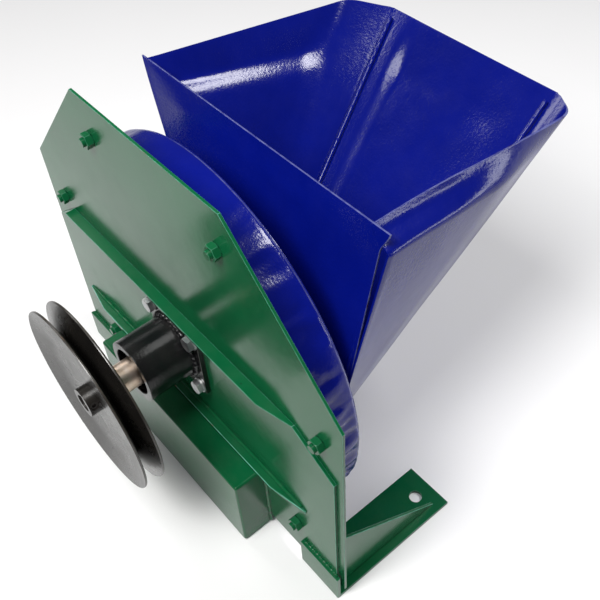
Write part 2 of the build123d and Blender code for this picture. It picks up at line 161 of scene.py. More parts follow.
def objectPlace(tree, stretch=None):
    place = tree.nodes.new("ShaderNodeTexCoord").outputs["Object"]
    if stretch is None:
        return place
    mapping = tree.nodes.new("ShaderNodeMapping")
    mapping.inputs["Scale"].default_value = stretch
    tree.links.new(place, mapping.inputs["Vector"])
    return mapping.outputs["Vector"]


# noise scales per metre
skinScale = {"pool": 62, "drag": (260, 260, 22), "cloud": 14, "haze": 38}
skinHeight = {"grain": 0.55, "pool": 0.9}


def makePaintSkin():
    group, given, result = newGroup(
        "paintSkin", {"Grain": 520.0, "Streaks": 0.35},
        {"Height": "Float", "Shade": "Float", "Haze": "Float"})
    place = objectPlace(group)
    grain = addNoise(group, place, given.outputs["Grain"], 2)          # orange peel
    pool = addNoise(group, place, skinScale["pool"], 3)                # slow swell of the coat
    streakPlace = objectPlace(group, skinScale["drag"])                # brush drag, mostly upright
    streak = addNoise(group, streakPlace, 1.0, 3, 0.6)
    strokes = addMath(group, "MULTIPLY", streak, given.outputs["Streaks"])
    height = addMath(group, "ADD", addMath(group, "MULTIPLY", grain, skinHeight["grain"]), strokes)
    height = addMath(group, "ADD", height, addMath(group, "MULTIPLY", pool, skinHeight["pool"]))
    cloud = addNoise(group, place, skinScale["cloud"], 5, 0.62)
    group.links.new(height, result.inputs["Height"])
    group.links.new(addRange(group, cloud, 0.32, 0.7), result.inputs["Shade"])
    haze = addNoise(group, place, skinScale["haze"], 5, 0.7)
    group.links.new(addRange(group, haze, 0.35, 0.72), result.inputs["Haze"])
    return group


rustScale = 47


# Sharp edges take a paler colour: partly thinned, worn paint and partly a painted edge highlight. The rust
# patches are real.
def makeWornEdgeAndHighlight():
    group, given, result = newGroup(
        "wornEdgeAndHighlight", {"Coat": (0.1, 0.1, 0.1), "ThinAndHighlight": (0.5, 0.5, 0.5), "Rust": (0.3, 0.1, 0.05),
                     "Amount": 0.5, "Patch": 90.0},
        {"Color": "Color", "Mask": "Float"})
    wornAndHighlight = group.nodes.new("ShaderNodeAttribute")
    wornAndHighlight.attribute_name = "wearAndHighlight"
    place = objectPlace(group)
    breakUp = addNoise(group, place, given.outputs["Patch"], 4, 0.65)
    edge = addMath(group, "MULTIPLY", wornAndHighlight.outputs["Fac"], addRange(group, breakUp, 0.3, 0.6, 0.25, 1.0))
    mask = addMath(group, "MULTIPLY", edge, given.outputs["Amount"], clamp=True)
    # paler edge colour: worn paint plus a painted edge highlight
    thinnedAndHighlighted = addMix(group, mask, given.outputs["Coat"], given.outputs["ThinAndHighlight"])
    rustPatch = addRange(group, addNoise(group, place, rustScale, 3), 0.64, 0.7)
    rustMask = addMath(group, "MULTIPLY", rustPatch, addRange(group, wornAndHighlight.outputs["Fac"], 0.5, 0.9))
    group.links.new(addMix(group, rustMask, thinnedAndHighlighted, given.outputs["Rust"]), result.inputs["Color"])
    group.links.new(mask, result.inputs["Mask"])
    return group


dustScale = {"film": 30, "grit": 85, "sparse": 21}
gritColour = (0.004, 0.006, 0.005)


def makeDustFilm():
    group, given, result = newGroup(
        "dustFilm", {"Coat": (0.1, 0.1, 0.1), "Dust": (0.5, 0.48, 0.42), "Amount": 0.1, "Specks": 0.0},
        {"Color": "Color", "Mask": "Float"})
    place = objectPlace(group)
    facing = group.nodes.new("ShaderNodeNewGeometry")
    split = group.nodes.new("ShaderNodeSeparateXYZ")
    group.links.new(facing.outputs["Normal"], split.inputs["Vector"])
    upward = addRange(group, split.outputs["Z"], -0.2, 1.0, 0.25, 1.0)
    film = addRange(group, addNoise(group, place, dustScale["film"], 6, 0.75), 0.42, 0.78)
    settled = addMath(group, "MULTIPLY", film, upward)
    mask = addMath(group, "MULTIPLY", settled, given.outputs["Amount"], clamp=True)
    dusty = addMix(group, mask, given.outputs["Coat"], given.outputs["Dust"])
    cells = group.nodes.new("ShaderNodeTexVoronoi")
    cells.inputs["Scale"].default_value = dustScale["grit"]
    group.links.new(place, cells.inputs["Vector"])
    grit = addRange(group, cells.outputs["Distance"], 0.045, 0.075, 1.0, 0.0)
    sparse = addRange(group, addNoise(group, place, dustScale["sparse"], 2), 0.52, 0.6)
    scattered = addMath(group, "MULTIPLY", grit, sparse)
    gritMask = addMath(group, "MULTIPLY", scattered, given.outputs["Specks"])
    specked = addMix(group, gritMask, dusty, gritColour)
    group.links.new(specked, result.inputs["Color"])
    group.links.new(mask, result.inputs["Mask"])
    return group


turnedPatch = 120      # scale of the tone's patches


def makeTurnedMarks():
    group, given, result = newGroup(
        "turnedMarks", {"Pitch": 2400.0}, {"Height": "Float", "Shade": "Float"})
    place = objectPlace(group)
    offset = group.nodes.new("ShaderNodeVectorMath")
    offset.operation = "SUBTRACT"
    offset.inputs[1].default_value = (axisX, 0, axisZ)
    group.links.new(place, offset.inputs[0])
    split = group.nodes.new("ShaderNodeSeparateXYZ")
    group.links.new(offset.outputs["Vector"], split.inputs["Vector"])
    across = addMath(group, "MULTIPLY", split.outputs["X"], split.outputs["X"])
    up = addMath(group, "MULTIPLY", split.outputs["Z"], split.outputs["Z"])
    radius = addMath(group, "SQRT", addMath(group, "ADD", across, up))
    travel = addMath(group, "ADD", radius, split.outputs["Y"])
    line = group.nodes.new("ShaderNodeTexNoise")
    line.noise_dimensions = "1D"
    line.inputs["Scale"].default_value = 1.0
    line.inputs["Detail"].default_value = 3
    group.links.new(addMath(group, "MULTIPLY", travel, given.outputs["Pitch"]), line.inputs["W"])
    group.links.new(line.outputs["Fac"], result.inputs["Height"])
    patch = addNoise(group, place, turnedPatch, 4, 0.6)
    group.links.new(addRange(group, patch, 0.35, 0.68), result.inputs["Shade"])
    return group


paintSkin = makePaintSkin()
wornEdgeAndHighlight = makeWornEdgeAndHighlight()
dustFilm = makeDustFilm()
turnedMarks = makeTurnedMarks()


def useGroup(tree, group, values=None):
    node = tree.nodes.new("ShaderNodeGroup")
    node.node_tree = group
    for label, value in (values or {}).items():
        if isinstance(value, bpy.types.NodeSocket):
            tree.links.new(value, node.inputs[label])
        else:
            node.inputs[label].default_value = (*value, 1) if isinstance(value, tuple) else value
    return node


def newMaterial(name):
    material = bpy.data.materials.new(name)
    material.use_nodes = True
    return material, material.node_tree, material.node_tree.nodes["Principled BSDF"]


def addBump(tree, shader, height, strength, depth):
    bump = tree.nodes.new("ShaderNodeBump")
    bump.inputs["Strength"].default_value = strength
    bump.inputs["Distance"].default_value = depth
    tree.links.new(height, bump.inputs["Height"])
    tree.links.new(bump.outputs["Normal"], shader.inputs["Normal"])


dustRoughness = 0.3
wornRoughness = 0.15
coatRoughness = 0.12


def paintMaterial(name, look):
    material, tree, shader = newMaterial(name)
    skin = useGroup(tree, paintSkin, {"Grain": look["grain"], "Streaks": look["streaks"]})
    coat = addMix(tree, skin.outputs["Shade"], look["deep"], look["pale"])
    wornAndHighlight = useGroup(tree, wornEdgeAndHighlight, {"Coat": coat, "ThinAndHighlight": look["thinAndHighlight"], "Rust": look["rust"],
                                     "Amount": look["wearAndHighlight"]})
    dusty = useGroup(tree, dustFilm, {"Coat": wornAndHighlight.outputs["Color"], "Dust": look["dust"],
                                      "Amount": look["dustAmount"], "Specks": look["specks"]})
    tree.links.new(dusty.outputs["Color"], shader.inputs["Base Color"])
    gloss = addRange(tree, skin.outputs["Haze"], 0, 1, look["smooth"], look["rough"])
    dulled = addMath(tree, "MULTIPLY", dusty.outputs["Mask"], dustRoughness)
    gloss = addMath(tree, "ADD", gloss, dulled)
    rubbed = addMath(tree, "MULTIPLY", wornAndHighlight.outputs["Mask"], wornRoughness)
    gloss = addMath(tree, "ADD", gloss, rubbed, clamp=True)
    tree.links.new(gloss, shader.inputs["Roughness"])
    shader.inputs["Specular IOR Level"].default_value = look["specular"]
    shader.inputs["Coat Weight"].default_value = look["coat"]
    shader.inputs["Coat Roughness"].default_value = coatRoughness
    addBump(tree, shader, skin.outputs["Height"], look["bump"], look["bumpDepth"])
    return material


# In each look the thin colour is the pale edge colour, worn paint plus a painted edge highlight, and wear
# sets how much of it shows.
greenLook = {
    "deep": (0.0024, 0.078, 0.027), "pale": (0.0030, 0.098, 0.034), "thinAndHighlight": (0.16, 0.50, 0.40),
    "rust": (0.22, 0.07, 0.045), "dust": (0.30, 0.36, 0.30), "wearAndHighlight": 0.8, "dustAmount": 0.03,
    "specks": 0.75, "grain": 640.0, "streaks": 0.35, "smooth": 0.17, "rough": 0.23,
    "specular": 0.3, "coat": 0.0, "bump": 0.3, "bumpDepth": 0.00025,
}
blueLook = {
    "deep": (0.0010, 0.0045, 0.144), "pale": (0.0014, 0.0056, 0.174), "thinAndHighlight": (0.20, 0.22, 0.42),
    "rust": (0.05, 0.03, 0.08), "dust": (0.20, 0.20, 0.42), "wearAndHighlight": 0.55, "dustAmount": 0.01,
    "specks": 0.0, "grain": 420.0, "streaks": 0.15, "smooth": 0.15, "rough": 0.21,
    "specular": 0.33, "coat": 0.0, "bump": 0.75, "bumpDepth": 0.00034,
}
housingLook = {
    "deep": (0.004, 0.004, 0.005), "pale": (0.008, 0.008, 0.009), "thinAndHighlight": (0.22, 0.21, 0.2),
    "rust": (0.10, 0.05, 0.03), "dust": (0.22, 0.2, 0.17), "wearAndHighlight": 0.35, "dustAmount": 0.05,
    "specks": 0.0, "grain": 420.0, "streaks": 0.1, "smooth": 0.12, "rough": 0.26,
    "specular": 0.42, "coat": 0.0, "bump": 0.5, "bumpDepth": 0.00025,
}
pulleyLook = {
    "deep": (0.006, 0.0055, 0.005), "pale": (0.012, 0.011, 0.010), "thinAndHighlight": (0.10, 0.08, 0.065),
    "rust": (0.09, 0.05, 0.03), "dust": (0.24, 0.20, 0.16), "wearAndHighlight": 0.3, "dustAmount": 0.05,
    "specks": 0.0, "grain": 900.0, "streaks": 0.0, "smooth": 0.24, "rough": 0.34,
    "specular": 0.62, "coat": 0.0, "bump": 0.3, "bumpDepth": 0.00015,
}


grimeRoughness = 0.4
markDepth = 0.00008


def metalMaterial(name, look):
    material, tree, shader = newMaterial(name)
    marks = useGroup(tree, turnedMarks, {"Pitch": look["pitch"]})
    tone = addMix(tree, marks.outputs["Shade"], look["deep"], look["pale"])
    dusty = useGroup(tree, dustFilm, {"Coat": tone, "Dust": look["grime"],
                                      "Amount": look["grimeAmount"]})
    tree.links.new(dusty.outputs["Color"], shader.inputs["Base Color"])
    gloss = addRange(tree, marks.outputs["Shade"], 0, 1, look["smooth"], look["rough"])
    dulled = addMath(tree, "MULTIPLY", dusty.outputs["Mask"], grimeRoughness)
    gloss = addMath(tree, "ADD", gloss, dulled, clamp=True)
    tree.links.new(gloss, shader.inputs["Roughness"])
    shader.inputs["Metallic"].default_value = 1.0
    addBump(tree, shader, marks.outputs["Height"], look["bump"], markDepth)
    return material


zincLook = {"deep": (0.46, 0.48, 0.50), "pale": (0.68, 0.69, 0.68), "grime": (0.12, 0.10, 0.07),
            "grimeAmount": 0.25, "smooth": 0.32, "rough": 0.48, "pitch": 900.0, "bump": 0.2}
yellowLook = {"deep": (0.66, 0.50, 0.36), "pale": (0.86, 0.73, 0.64), "grime": (0.10, 0.07, 0.04),
              "grimeAmount": 0.12, "smooth": 0.36, "rough": 0.5, "pitch": 3200.0, "bump": 0.12}
turnedLook = {"deep": (0.42, 0.42, 0.43), "pale": (0.58, 0.57, 0.56), "grime": (0.08, 0.06, 0.05),
              "grimeAmount": 0.4, "smooth": 0.22, "rough": 0.36, "pitch": 3600.0, "bump": 0.4}
springLook = {"deep": (0.06, 0.055, 0.055), "pale": (0.12, 0.115, 0.11), "grime": (0.1, 0.08, 0.06),
              "grimeAmount": 0.3, "smooth": 0.34, "rough": 0.5, "pitch": 800.0, "bump": 0.2}
bearingLook = {"deep": (0.62, 0.62, 0.64), "pale": (0.74, 0.74, 0.75), "grime": (0.14, 0.11, 0.08),
               "grimeAmount": 0.15, "smooth": 0.10, "rough": 0.2, "pitch": 5200.0, "bump": 0.15}
stainlessLook = {"deep": (0.46, 0.46, 0.47), "pale": (0.60, 0.60, 0.60), "grime": (0.12, 0.10, 0.08),
                 "grimeAmount": 0.2, "smooth": 0.26, "rough": 0.42, "pitch": 1500.0, "bump": 0.3}
knifeLook = {"deep": (0.55, 0.56, 0.57), "pale": (0.70, 0.70, 0.71), "grime": (0.12, 0.10, 0.08),
             "grimeAmount": 0.15, "smooth": 0.16, "rough": 0.3, "pitch": 4200.0, "bump": 0.35}


rubberLook = {"deep": (0.012, 0.012, 0.012), "pale": (0.026, 0.025, 0.024), "dust": (0.2, 0.18, 0.15),
              "dustAmount": 0.3, "smooth": 0.5, "rough": 0.72, "pitch": 1600.0, "bump": 0.3,
              "bumpDepth": 0.0001}


def rubberMaterial(name, look):
    material, tree, shader = newMaterial(name)
    marks = useGroup(tree, turnedMarks, {"Pitch": look["pitch"]})
    tone = addMix(tree, marks.outputs["Shade"], look["deep"], look["pale"])
    dusty = useGroup(tree, dustFilm, {"Coat": tone, "Dust": look["dust"], "Amount": look["dustAmount"]})
    tree.links.new(dusty.outputs["Color"], shader.inputs["Base Color"])
    gloss = addRange(tree, marks.outputs["Shade"], 0, 1, look["smooth"], look["rough"])
    tree.links.new(gloss, shader.inputs["Roughness"])
    addBump(tree, shader, marks.outputs["Height"], look["bump"], look["bumpDepth"])
    return material


finishes = {
    "green_paint": paintMaterial("greenPaint", greenLook),
    "blue_paint": paintMaterial("bluePaint", blueLook),
    "housing_black": paintMaterial("housingEnamel", housingLook),
    "pulley_black": paintMaterial("pulleyPaint", pulleyLook),
    "bright_zinc": metalMaterial("brightZinc", zincLook),
    "yellow_zinc": metalMaterial("yellowZinc", yellowLook),
    "turned_steel": metalMaterial("turnedSteel", turnedLook),
    "spring_steel": metalMaterial("springSteel", springLook),
    "bearing_steel": metalMaterial("bearingSteel", bearingLook),
    "stainless_steel": metalMaterial("stainlessSheet", stainlessLook),
    "knife_steel": metalMaterial("knifeSteel", knifeLook),
    "seal_rubber": rubberMaterial("sealRubber", rubberLook),
}
print("materials made")


def finishPiece(name, bm, slotName, body, replaced=(), smoothAngle=38):
    mesh = bpy.data.meshes.new(name)
    bm.to_mesh(mesh)
    bm.free()
    mesh.materials.append(finishes[slotName])
    mesh.shade_smooth()
    mesh.set_sharp_from_angle(angle=math.radians(smoothAngle))
    piece = bpy.data.objects.new(name, mesh)
    bpy.context.scene.collection.objects.link(piece)
    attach(piece, body)
    if replaced:
        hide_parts(*replaced)
    return piece


def evenNormals(piece):
    weighted = piece.modifiers.new("evenNormals", "WEIGHTED_NORMAL")
    weighted.weight = 90
    weighted.keep_sharp = True


def roundEdges(bm, edges, width, segments):
    if not edges:
        return []
    made = bmesh.ops.bevel(bm, geom=edges, affect="EDGES", offset=width, segments=segments,
                           profile=0.5, material=-1, clamp_overlap=True)
    return made["faces"]


def sharpEdges(bm, angle=30):
    limit = math.radians(angle)
    return [e for e in bm.edges if len(e.link_faces) == 2 and e.calc_face_angle(0) > limit]


def softenedCopy(node, look):
    bm = bmesh.new()
    bm.from_mesh(nodes[node].data)
    bmesh.ops.remove_doubles(bm, verts=bm.verts, dist=0.002 * mm)
    bmesh.ops.dissolve_limit(bm, angle_limit=math.radians(0.6), verts=bm.verts, edges=bm.edges)
    frontY = min(v.co.y for v in bm.verts)      # a thickened piece grows towards the pulley
    for vert in bm.verts:
        if vert.co.y < frontY + 0.1 * mm:
            vert.co.y -= look.get("thicken", 0.0)
    wearAndHighlight = bm.verts.layers.float.new("wearAndHighlight")
    if "fold" in look:      # bends of the sheet, which are rounder than its cut edges
        broad = [e for e in sharpEdges(bm, 60)
                 if min(f.calc_area() for f in e.link_faces) > look["foldArea"]]
        outside = [e for e in broad if e.is_convex]
        inside = [e for e in broad if not e.is_convex]
        roundEdges(bm, outside, look["fold"], 4)
        inside = [e for e in inside if e.is_valid]
        roundEdges(bm, inside, look["fold"] * 0.4, 3)
    rounded = set(roundEdges(bm, sharpEdges(bm), look["edge"], look.get("segments", 2)))
    # rounded edges get the pale edge colour: worn paint plus a painted edge highlight
    for vert in bm.verts:
        onEdge = all(face in rounded for face in vert.link_faces)
        vert[wearAndHighlight] = look.get("wearAndHighlight", 1.0) if onEdge else 0.0
    piece = finishPiece(node + "_finished", bm, slotOf[node], bodyOf[node], [node])
    evenNormals(piece)
    return piece


def pathFrame(path, i, closed):
    last = len(path) - 1
    before = path[i - 1] if i > 0 or closed else path[0]
    after = path[(i + 1) % len(path)] if i < last or closed else path[last]
    return (after - before).normalized()


def weldBead(name, path, look, slotName, body, closed=False):
    bm = bmesh.new()
    wearAndHighlight = bm.verts.layers.float.new("wearAndHighlight")
    rings = []
    for i, point in enumerate(path):
        along = pathFrame(path, i, closed)
        lump = 1 + look["lump"] * math.sin(i * math.tau / look["ripple"])
        lump += look["lump"] * 1.2 * noise.noise(point * 230)
        drift = noise.noise_vector(point * 120) * look["radius"] * look.get("drift", 0.25)
        turn = along.to_track_quat("Z", "Y").to_matrix().to_4x4()
        made = bmesh.ops.create_circle(bm, segments=look["sides"], radius=look["radius"] * lump,
                                       matrix=Matrix.Translation(point + drift) @ turn)
        rings.append(made["verts"])
    loops = [sorted({e for v in ring for e in v.link_edges}, key=lambda e: e.index) for ring in rings]
    pairs = list(zip(loops, loops[1:]))
    if closed:
        pairs.append((loops[-1], loops[0]))
    for first, second in pairs:
        bmesh.ops.bridge_loops(bm, edges=first + second)
    if not closed:
        bmesh.ops.contextual_create(bm, geom=loops[0])
        bmesh.ops.contextual_create(bm, geom=loops[-1])
    bmesh.ops.recalc_face_normals(bm, faces=bm.faces)
    for vert in bm.verts:
        vert[wearAndHighlight] = 0.0
    return finishPiece(name, bm, slotName, body, smoothAngle=80)


def straightPath(start, end, step):
    count = max(3, round((end - start).length / step))
    return [start.lerp(end, i / count) for i in range(count + 1)]


def roundPath(radius, y, step, start=0.0, end=math.tau):
    count = round(radius * (end - start) / step)
    closed = end - start > math.tau - 0.01
    angles = [start + (end - start) * i / count for i in range(count if closed else count + 1)]
    return [Vector((axisX + radius * math.sin(a), y, axisZ + radius * math.cos(a))) for a in angles]


def farCorner(node, *direction):
    toward = Vector(direction)
    return max((v.co.copy() for v in nodes[node].data.vertices), key=lambda p: p.dot(toward))


softened = {
    "main_plate": {"edge": 0.55 * mm},
    "stiffener_plate": {"edge": 0.6 * mm},
    "lower_rib": {"edge": 1.1 * mm, "segments": 3, "thicken": 3.0 * mm},
    "discharge_chute": {"edge": 0.5 * mm, "fold": 2.6 * mm, "foldArea": 0.0015, "wearAndHighlight": 0.8},
    "left_foot": {"edge": 0.7 * mm, "fold": 3.2 * mm, "foldArea": 0.0013},
    "right_foot": {"edge": 0.7 * mm, "fold": 3.2 * mm, "foldArea": 0.0013},
    "left_gusset": {"edge": 0.6 * mm},
    "right_gusset": {"edge": 0.6 * mm},
    "casing_lip": {"edge": 0.6 * mm},
    "casing_bolts": {"edge": 0.6 * mm, "segments": 3, "wearAndHighlight": 0.2},
    "casing_nuts": {"edge": 0.8 * mm, "segments": 3, "wearAndHighlight": 0.2},
    "bearing_housing": {"edge": 0.7 * mm, "segments": 3, "wearAndHighlight": 0.5},
    "housing_flange": {"edge": 1.0 * mm, "segments": 3},
    "housing_circlip": {"edge": 0.25 * mm},
    "housing_bolts": {"edge": 0.3 * mm},
    "housing_washers": {"edge": 0.25 * mm},
    "housing_nuts": {"edge": 0.3 * mm},
    "front_sleeve": {"edge": 0.5 * mm},
    "rear_sleeve": {"edge": 0.5 * mm},
    "shaft": {"edge": 0.5 * mm},
    "pulley_hub": {"edge": 0.8 * mm, "segments": 3},
    "cutting_disc": {"edge": 0.4 * mm},
    "disc_hub": {"edge": 0.7 * mm},
    "cutting_knives": {"edge": 0.25 * mm},
    "disc_washer": {"edge": 0.3 * mm},
    "disc_nut": {"edge": 0.4 * mm},
}
for node, look in softened.items():
    softenedCopy(node, look)
print("plates, feet and fasteners softened")


drumLook = {
    "steps": 360,          # round the drum
    "rows": 14,
    "roll": 4.5 * mm,      # rounded rear edge
    "thickness": 2.0 * mm,
    "dent": 6.0 * mm,
    "crease": 1.7 * mm,
    "swell": 0.5 * mm,
    "shift": 7.1,          # where the creases' noise is read
    "outMost": 2.2 * mm,
    "inMost": -1.5 * mm,
    "edgeZone": 9 * mm,
    "worst": ((80, 42, 1.0), (-70, 40, 0.35)),   # degrees from the top, spread, share of the full dent
}


def easeStep(value, low, high):
    t = min(1.0, max(0.0, (value - low) / (high - low)))
    return t * t * (3 - 2 * t)


def drumDent(angle, depth, look):
    beatenShare = sum(share * math.exp(-((math.degrees(angle) - middle) / spread) ** 2)
                      for middle, spread, share in look["worst"])
    wrinkle = noise.noise(Vector((angle * 9.5, depth * 16, 4.2))) + 0.5 * noise.noise(
        Vector((angle * 26, depth * 30, 9.7)))
    slant = angle + depth * 1.6
    crease = 1 - min(1.0, 5 * abs(noise.noise(Vector((slant * 7, depth * 12, look["shift"])))))
    swell = noise.noise(Vector((angle * 2.2, depth * 9, 1.3))) * look["swell"]
    beaten = wrinkle * look["dent"] - crease * crease * look["crease"]
    return min(look["outMost"], max(look["inMost"], beaten * beatenShare + swell))


def makeDrum(look):
    low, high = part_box("casing_wrapper")
    outer = high.x - axisX
    front, rear = low.y, high.y
    bm = bmesh.new()
    wearAndHighlight = bm.verts.layers.float.new("wearAndHighlight")
    roll = look["roll"]
    profile = [Vector((axisX, front + (rear - roll - front) * i / look["rows"], axisZ + outer))
               for i in range(look["rows"] + 1)]
    for i in range(1, 6):
        a = math.radians(90 * i / 5)
        y = rear - roll + roll * math.sin(a)
        profile.append(Vector((axisX, y, axisZ + outer - roll * (1 - math.cos(a)))))
    verts = [bm.verts.new(p) for p in profile]
    edges = [bm.edges.new(pair) for pair in zip(verts, verts[1:])]
    bmesh.ops.spin(bm, geom=verts + edges, cent=(axisX, 0, axisZ), axis=(0, 1, 0), angle=math.tau,
                   steps=look["steps"], use_merge=True)
    bmesh.ops.remove_doubles(bm, verts=bm.verts, dist=0.01 * mm)
    for vert in bm.verts:
        spoke = Vector((vert.co.x - axisX, 0, vert.co.z - axisZ))
        angle = math.atan2(spoke.x, spoke.z)
        depth = vert.co.y - front
        held = easeStep(depth, 0, look["edgeZone"])
        held *= 1 - 0.7 * easeStep(depth, rear - front - 1.6 * look["edgeZone"], rear - front)
        vert.co += spoke.normalized() * drumDent(angle, depth, look) * held
        # the rolled rear rim gets the pale edge colour: worn paint plus a painted edge highlight
        rim = abs(vert.co.y - (rear - roll * 0.25))
        vert[wearAndHighlight] = 1.0 if rim < roll * 0.2 else 0.0
    bmesh.ops.bisect_plane(bm, geom=bm.verts[:] + bm.edges[:] + bm.faces[:], plane_co=(0, 0, low.z),
                           plane_no=(0, 0, -1), clear_outer=True)
    bmesh.ops.recalc_face_normals(bm, faces=bm.faces)
    axis = Vector((axisX, 0, axisZ))
    outward = sum(f.normal.dot((f.calc_center_median() - axis) * Vector((1, 0, 1))) for f in bm.faces)
    if outward < 0:
        bmesh.ops.reverse_faces(bm, faces=bm.faces)
    piece = finishPiece("drum_wrapper_dented", bm, "blue_paint", "frame", ["casing_wrapper"], 50)
    wall = piece.modifiers.new("sheet", "SOLIDIFY")
    wall.thickness = look["thickness"]
    wall.offset = -1
    return piece


makeDrum(drumLook)
softenedCopy("casing_back", {"edge": 0.35 * mm, "wearAndHighlight": 0.4})
print("drum made")


hopperLook = {
    "across": 72, "down": 60,
    "thickness": 2.0 * mm,
    "edgeBand": 0.45 * mm,   # worn strip along a cut edge, painted with a pale edge highlight
    "swell": 0.7 * mm,      # hand-beaten unevenness
    "earLeft": 8 * mm,      # front wall past the left wall's rim
    "earRight": 6 * mm,
    "lean": 11 * mm,        # right wall's rim inside the front corner
    "leanFade": (0.1, 0.95),
    "lipBlur": 0.006,
    "turnBlur": 0.014,      # how gently a rim turns at its side point
}
# profile: how far the sheet stands out (mm) at each share of the way down; it fades across the wall
wallLooks = {
    "front": {"profile": ((0, 0), (0.13, 2.2), (1, 0)), "round": 0.02,
              "fadeIn": (0.02, 0.2), "fadeOut": (0.75, 0.98)},
    "right": {"profile": ((0, 0), (0.1, 9.0), (1, 0)), "round": 0.01,
              "fadeIn": (-0.1, 0.02), "fadeOut": (0.55, 0.9),
              "lip": ((0, 0), (0.04, -4.4), (0.1, 0), (1, 0)), "lipFade": (0.3, 0.5)},
    "back": {"profile": ((0, 0), (0.145, 6.0), (0.2, 3.0), (1, 0)), "round": 0.022,
             "fadeIn": (0.0, 0.4), "fadeOut": (0.8, 0.9)},
    "left": {"profile": ((0, 0), (0.13, 8.5), (0.185, 4.2), (1, 0)), "round": 0.014, "turnFade": 2.5,
             "fadeIn": (0.12, 0.33), "fadeOut": (0.97, 1.02)},
}


def profileOut(down, profile):
    for (a, outA), (b, outB) in zip(profile, profile[1:]):
        if down <= b:
            return outA + (outB - outA) * max(0.0, down - a) / (b - a)
    return profile[-1][1]


def foldShape(down, profile, blur):      # the profile with its corners rounded
    spread = [down + blur * (k / 4) for k in range(-4, 5)]
    return sum(profileOut(d, profile) for d in spread) / len(spread) * mm


def alongRim(points, share):
    lengths = [(b - a).length for a, b in zip(points, points[1:])]
    travel = share * sum(lengths)
    for (a, b), length in zip(zip(points, points[1:]), lengths):
        if travel <= length or b is points[-1]:
            return a.lerp(b, travel / length)
        travel -= length


def bandedShare(index, count, band):
    if index == 0:
        return 0.0
    if index == count:
        return 1.0
    return band + (index - 1) / (count - 2) * (1 - 2 * band)


def hopperCorners():
    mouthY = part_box("casing_back")[1].y
    corners = {}
    for name, wall, side in (("frontLeft", "hopper_front_wall", -1), ("frontRight", "hopper_front_wall", 1),
                             ("backRight", "hopper_back_wall", 1), ("backLeft", "hopper_back_wall", -1)):
        top = farCorner(wall, side, 0, 1)
        lowest = [v.co.copy() for v in nodes[wall].data.vertices if abs(v.co.y - mouthY) < 0.1 * mm]
        upper = 1 if wall == "hopper_front_wall" else -1
        low = max(lowest, key=lambda p: side * p.x * 10 + upper * p.z)
        corners[name] = (low, top)
    return corners


def makeHopperWall(name, start, end, middle, look, shared):
    (lowA, topA), (lowB, topB) = start, end
    node = "hopper_" + name + "_wall"
    rim = [topA] + middle + [topB]
    outward = (topB - topA).cross(lowA - topA).normalized()
    centre = sum((p for p in (lowA, topA, lowB, topB)), Vector()) / 4
    hopperMiddle = (corners["frontLeft"][1] + corners["backRight"][1]) / 2
    if outward.dot(centre - hopperMiddle) < 0:
        outward = -outward
    width = (topB - topA).length
    drop = (lowA - topA).length
    bm = bmesh.new()
    wearAndHighlight = bm.verts.layers.float.new("wearAndHighlight")
    across, down = shared["across"], shared["down"]
    bmesh.ops.create_grid(bm, x_segments=across, y_segments=down, size=0.5)
    for vert in bm.verts:
        i = round((vert.co.x + 0.5) * across)
        j = round((vert.co.y + 0.5) * down)
        u = bandedShare(i, across, shared["edgeBand"] / width)
        v = bandedShare(j, down, shared["edgeBand"] / drop)
        straight = topA.lerp(topB, u)
        shares = [min(1.0, max(0.0, u + k * shared["turnBlur"])) for k in range(-3, 4)]
        turn = sum((alongRim(rim, share) - topA.lerp(topB, share) for share in shares), Vector())
        turn /= len(shares)
        turn *= easeStep(u, 0, 0.02) * (1 - easeStep(u, 0.98, 1))
        point = straight.lerp(lowA.lerp(lowB, u), v) + turn * (1 - v) ** look.get("turnFade", 1)
        fade = easeStep(u, *look["fadeIn"]) * (1 - easeStep(u, *look["fadeOut"]))
        inner = easeStep(u, 0, 0.06) * (1 - easeStep(u, 0.94, 1))
        inner *= easeStep(v, 0, 0.05) * (1 - easeStep(v, 0.9, 1))
        swell = noise.noise(point * 17 + Vector((0, 0, width * 50))) * shared["swell"] * inner
        point += outward * (foldShape(v, look["profile"], look["round"]) * fade + swell)
        if "lip" in look:
            lipFade = 1 - easeStep(u, *look["lipFade"])
            point += outward * foldShape(v, look["lip"], shared["lipBlur"]) * lipFade
        if name == "right":
            aboveFold = 1 - min(1.0, v / look["profile"][1][0])
            point.x -= shared["lean"] * (1 - easeStep(u, *shared["leanFade"])) * aboveFold
        if name == "front":
            point.x -= shared["earLeft"] * (1 - u) ** 8 * (1 - easeStep(v, 0, 0.5))
            point.x += shared["earRight"] * u ** 8 * (1 - easeStep(v, 0, 0.11))
        vert.co = point
        # cut edges get the pale edge colour: worn paint plus a painted edge highlight
        cutEdge = j == 0 or (name == "front" and i in (0, across))
        vert[wearAndHighlight] = 1.0 if cutEdge else 0.0
    bmesh.ops.recalc_face_normals(bm, faces=bm.faces)
    if sum(f.normal.dot(outward) for f in bm.faces) < 0:
        bmesh.ops.reverse_faces(bm, faces=bm.faces)
    piece = finishPiece(node + "_sheet", bm, "blue_paint", "frame", [node], 60)
    wall = piece.modifiers.new("sheet", "SOLIDIFY")
    wall.thickness = shared["thickness"]
    wall.offset = -1
    wall.use_even_offset = True
    soft = piece.modifiers.new("softEdge", "BEVEL")
    soft.width = 0.35 * mm
    soft.segments = 2
    soft.limit_method = "ANGLE"
    soft.angle_limit = math.radians(50)
    return piece


